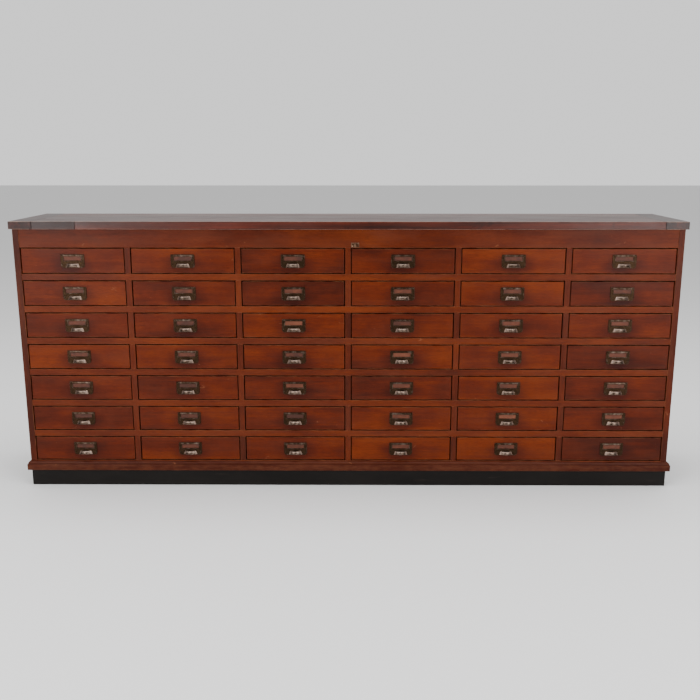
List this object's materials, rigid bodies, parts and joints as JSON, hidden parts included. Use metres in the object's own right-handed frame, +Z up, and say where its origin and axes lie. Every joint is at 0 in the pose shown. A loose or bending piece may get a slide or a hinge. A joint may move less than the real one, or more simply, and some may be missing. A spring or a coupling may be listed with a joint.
{
  "type": "apothecary cabinet",
  "caption": "Long low apothecary cabinet: a bank of equal drawers with card-frame cup pulls under a plain frieze and a boarded top, on a black plinth.",
  "frame": {"origin": "on the floor, under the middle of the cabinet's overall box", "axes": "+X along the front to the viewer's right, +Y from front to back, +Z up; the drawers open towards -Y"},
  "size_m": [2.449, 0.4106, 1.006],
  "materials": {
    "worn_top": "worn varnish, dark, with scratches and rings",
    "case_wood": "varnished red-brown mahogany",
    "drawer_wood": "varnished red-brown mahogany, each front a little different",
    "inner_wood": "bare pale wood",
    "black_plinth": "black paint, satin",
    "brass": "worn, dull",
    "pull_bronze": "dark bronze, rubbed bright at the lip",
    "card": "old card behind a thin cover"
  },
  "bodies": {
    "cabinet": {"top_boards": "worn_top", "top_end_boards": "worn_top", "top_edge_patch": "worn_top", "left_side": "case_wood", "right_side": "case_wood", "frieze_rail": "case_wood", "frieze_plate": "brass", "drawer_rails": "case_wood", "drawer_stiles": "case_wood", "drawer_runners": "inner_wood", "top_kickers": "inner_wood", "drawer_guides": "inner_wood", "drawer_stops": "inner_wood", "rear_frame": "inner_wood", "back_boards": "inner_wood", "bottom_board": "inner_wood", "base_moulding": "case_wood", "plinth_frame": "black_plinth"},
    "drawer_r1_c1": {"drawer_r1_c1": "drawer_wood"},
    "drawer_r1_c2": {"drawer_r1_c2": "drawer_wood"},
    "drawer_r1_c3": {"drawer_r1_c3": "drawer_wood"},
    "drawer_r1_c4": {"drawer_r1_c4": "drawer_wood"},
    "drawer_r1_c5": {"drawer_r1_c5": "drawer_wood"},
    "drawer_r1_c6": {"drawer_r1_c6": "drawer_wood"},
    "drawer_r2_c1": {"drawer_r2_c1": "drawer_wood"},
    "drawer_r2_c2": {"drawer_r2_c2": "drawer_wood"},
    "drawer_r2_c3": {"drawer_r2_c3": "drawer_wood"},
    "drawer_r2_c4": {"drawer_r2_c4": "drawer_wood"},
    "drawer_r2_c5": {"drawer_r2_c5": "drawer_wood"},
    "drawer_r2_c6": {"drawer_r2_c6": "drawer_wood"},
    "drawer_r3_c1": {"drawer_r3_c1": "drawer_wood"},
    "drawer_r3_c2": {"drawer_r3_c2": "drawer_wood"},
    "drawer_r3_c3": {"drawer_r3_c3": "drawer_wood"},
    "drawer_r3_c4": {"drawer_r3_c4": "drawer_wood"},
    "drawer_r3_c5": {"drawer_r3_c5": "drawer_wood"},
    "drawer_r3_c6": {"drawer_r3_c6": "drawer_wood"},
    "drawer_r4_c1": {"drawer_r4_c1": "drawer_wood"},
    "drawer_r4_c2": {"drawer_r4_c2": "drawer_wood"},
    "drawer_r4_c3": {"drawer_r4_c3": "drawer_wood"},
    "drawer_r4_c4": {"drawer_r4_c4": "drawer_wood"},
    "drawer_r4_c5": {"drawer_r4_c5": "drawer_wood"},
    "drawer_r4_c6": {"drawer_r4_c6": "drawer_wood"},
    "drawer_r5_c1": {"drawer_r5_c1": "drawer_wood"},
    "drawer_r5_c2": {"drawer_r5_c2": "drawer_wood"},
    "drawer_r5_c3": {"drawer_r5_c3": "drawer_wood"},
    "drawer_r5_c4": {"drawer_r5_c4": "drawer_wood"},
    "drawer_r5_c5": {"drawer_r5_c5": "drawer_wood"},
    "drawer_r5_c6": {"drawer_r5_c6": "drawer_wood"},
    "drawer_r6_c1": {"drawer_r6_c1": "drawer_wood"},
    "drawer_r6_c2": {"drawer_r6_c2": "drawer_wood"},
    "drawer_r6_c3": {"drawer_r6_c3": "drawer_wood"},
    "drawer_r6_c4": {"drawer_r6_c4": "drawer_wood"},
    "drawer_r6_c5": {"drawer_r6_c5": "drawer_wood"},
    "drawer_r6_c6": {"drawer_r6_c6": "drawer_wood"},
    "drawer_r7_c1": {"drawer_r7_c1": "drawer_wood"},
    "drawer_r7_c2": {"drawer_r7_c2": "drawer_wood"},
    "drawer_r7_c3": {"drawer_r7_c3": "drawer_wood"},
    "drawer_r7_c4": {"drawer_r7_c4": "drawer_wood"},
    "drawer_r7_c5": {"drawer_r7_c5": "drawer_wood"},
    "drawer_r7_c6": {"drawer_r7_c6": "drawer_wood"}
  },
  "joints": [
    {"name": "slide_r1_c1", "type": "slide", "parent": "cabinet", "child": "drawer_r1_c1", "axis": [0, -1, 0], "range_m": [0, 0.3]},
    {"name": "slide_r1_c2", "type": "slide", "parent": "cabinet", "child": "drawer_r1_c2", "axis": [0, -1, 0], "range_m": [0, 0.3]},
    {"name": "slide_r1_c3", "type": "slide", "parent": "cabinet", "child": "drawer_r1_c3", "axis": [0, -1, 0], "range_m": [0, 0.3]},
    {"name": "slide_r1_c4", "type": "slide", "parent": "cabinet", "child": "drawer_r1_c4", "axis": [0, -1, 0], "range_m": [0, 0.3]},
    {"name": "slide_r1_c5", "type": "slide", "parent": "cabinet", "child": "drawer_r1_c5", "axis": [0, -1, 0], "range_m": [0, 0.3]},
    {"name": "slide_r1_c6", "type": "slide", "parent": "cabinet", "child": "drawer_r1_c6", "axis": [0, -1, 0], "range_m": [0, 0.3]},
    {"name": "slide_r2_c1", "type": "slide", "parent": "cabinet", "child": "drawer_r2_c1", "axis": [0, -1, 0], "range_m": [0, 0.3]},
    {"name": "slide_r2_c2", "type": "slide", "parent": "cabinet", "child": "drawer_r2_c2", "axis": [0, -1, 0], "range_m": [0, 0.3]},
    {"name": "slide_r2_c3", "type": "slide", "parent": "cabinet", "child": "drawer_r2_c3", "axis": [0, -1, 0], "range_m": [0, 0.3]},
    {"name": "slide_r2_c4", "type": "slide", "parent": "cabinet", "child": "drawer_r2_c4", "axis": [0, -1, 0], "range_m": [0, 0.3]},
    {"name": "slide_r2_c5", "type": "slide", "parent": "cabinet", "child": "drawer_r2_c5", "axis": [0, -1, 0], "range_m": [0, 0.3]},
    {"name": "slide_r2_c6", "type": "slide", "parent": "cabinet", "child": "drawer_r2_c6", "axis": [0, -1, 0], "range_m": [0, 0.3]},
    {"name": "slide_r3_c1", "type": "slide", "parent": "cabinet", "child": "drawer_r3_c1", "axis": [0, -1, 0], "range_m": [0, 0.3]},
    {"name": "slide_r3_c2", "type": "slide", "parent": "cabinet", "child": "drawer_r3_c2", "axis": [0, -1, 0], "range_m": [0, 0.3]},
    {"name": "slide_r3_c3", "type": "slide", "parent": "cabinet", "child": "drawer_r3_c3", "axis": [0, -1, 0], "range_m": [0, 0.3]},
    {"name": "slide_r3_c4", "type": "slide", "parent": "cabinet", "child": "drawer_r3_c4", "axis": [0, -1, 0], "range_m": [0, 0.3]},
    {"name": "slide_r3_c5", "type": "slide", "parent": "cabinet", "child": "drawer_r3_c5", "axis": [0, -1, 0], "range_m": [0, 0.3]},
    {"name": "slide_r3_c6", "type": "slide", "parent": "cabinet", "child": "drawer_r3_c6", "axis": [0, -1, 0], "range_m": [0, 0.3]},
    {"name": "slide_r4_c1", "type": "slide", "parent": "cabinet", "child": "drawer_r4_c1", "axis": [0, -1, 0], "range_m": [0, 0.3]},
    {"name": "slide_r4_c2", "type": "slide", "parent": "cabinet", "child": "drawer_r4_c2", "axis": [0, -1, 0], "range_m": [0, 0.3]},
    {"name": "slide_r4_c3", "type": "slide", "parent": "cabinet", "child": "drawer_r4_c3", "axis": [0, -1, 0], "range_m": [0, 0.3]},
    {"name": "slide_r4_c4", "type": "slide", "parent": "cabinet", "child": "drawer_r4_c4", "axis": [0, -1, 0], "range_m": [0, 0.3]},
    {"name": "slide_r4_c5", "type": "slide", "parent": "cabinet", "child": "drawer_r4_c5", "axis": [0, -1, 0], "range_m": [0, 0.3]},
    {"name": "slide_r4_c6", "type": "slide", "parent": "cabinet", "child": "drawer_r4_c6", "axis": [0, -1, 0], "range_m": [0, 0.3]},
    {"name": "slide_r5_c1", "type": "slide", "parent": "cabinet", "child": "drawer_r5_c1", "axis": [0, -1, 0], "range_m": [0, 0.3]},
    {"name": "slide_r5_c2", "type": "slide", "parent": "cabinet", "child": "drawer_r5_c2", "axis": [0, -1, 0], "range_m": [0, 0.3]},
    {"name": "slide_r5_c3", "type": "slide", "parent": "cabinet", "child": "drawer_r5_c3", "axis": [0, -1, 0], "range_m": [0, 0.3]},
    {"name": "slide_r5_c4", "type": "slide", "parent": "cabinet", "child": "drawer_r5_c4", "axis": [0, -1, 0], "range_m": [0, 0.3]},
    {"name": "slide_r5_c5", "type": "slide", "parent": "cabinet", "child": "drawer_r5_c5", "axis": [0, -1, 0], "range_m": [0, 0.3]},
    {"name": "slide_r5_c6", "type": "slide", "parent": "cabinet", "child": "drawer_r5_c6", "axis": [0, -1, 0], "range_m": [0, 0.3]},
    {"name": "slide_r6_c1", "type": "slide", "parent": "cabinet", "child": "drawer_r6_c1", "axis": [0, -1, 0], "range_m": [0, 0.3]},
    {"name": "slide_r6_c2", "type": "slide", "parent": "cabinet", "child": "drawer_r6_c2", "axis": [0, -1, 0], "range_m": [0, 0.3]},
    {"name": "slide_r6_c3", "type": "slide", "parent": "cabinet", "child": "drawer_r6_c3", "axis": [0, -1, 0], "range_m": [0, 0.3]},
    {"name": "slide_r6_c4", "type": "slide", "parent": "cabinet", "child": "drawer_r6_c4", "axis": [0, -1, 0], "range_m": [0, 0.3]},
    {"name": "slide_r6_c5", "type": "slide", "parent": "cabinet", "child": "drawer_r6_c5", "axis": [0, -1, 0], "range_m": [0, 0.3]},
    {"name": "slide_r6_c6", "type": "slide", "parent": "cabinet", "child": "drawer_r6_c6", "axis": [0, -1, 0], "range_m": [0, 0.3]},
    {"name": "slide_r7_c1", "type": "slide", "parent": "cabinet", "child": "drawer_r7_c1", "axis": [0, -1, 0], "range_m": [0, 0.3]},
    {"name": "slide_r7_c2", "type": "slide", "parent": "cabinet", "child": "drawer_r7_c2", "axis": [0, -1, 0], "range_m": [0, 0.3]},
    {"name": "slide_r7_c3", "type": "slide", "parent": "cabinet", "child": "drawer_r7_c3", "axis": [0, -1, 0], "range_m": [0, 0.3]},
    {"name": "slide_r7_c4", "type": "slide", "parent": "cabinet", "child": "drawer_r7_c4", "axis": [0, -1, 0], "range_m": [0, 0.3]},
    {"name": "slide_r7_c5", "type": "slide", "parent": "cabinet", "child": "drawer_r7_c5", "axis": [0, -1, 0], "range_m": [0, 0.3]},
    {"name": "slide_r7_c6", "type": "slide", "parent": "cabinet", "child": "drawer_r7_c6", "axis": [0, -1, 0], "range_m": [0, 0.3]}
  ]
}
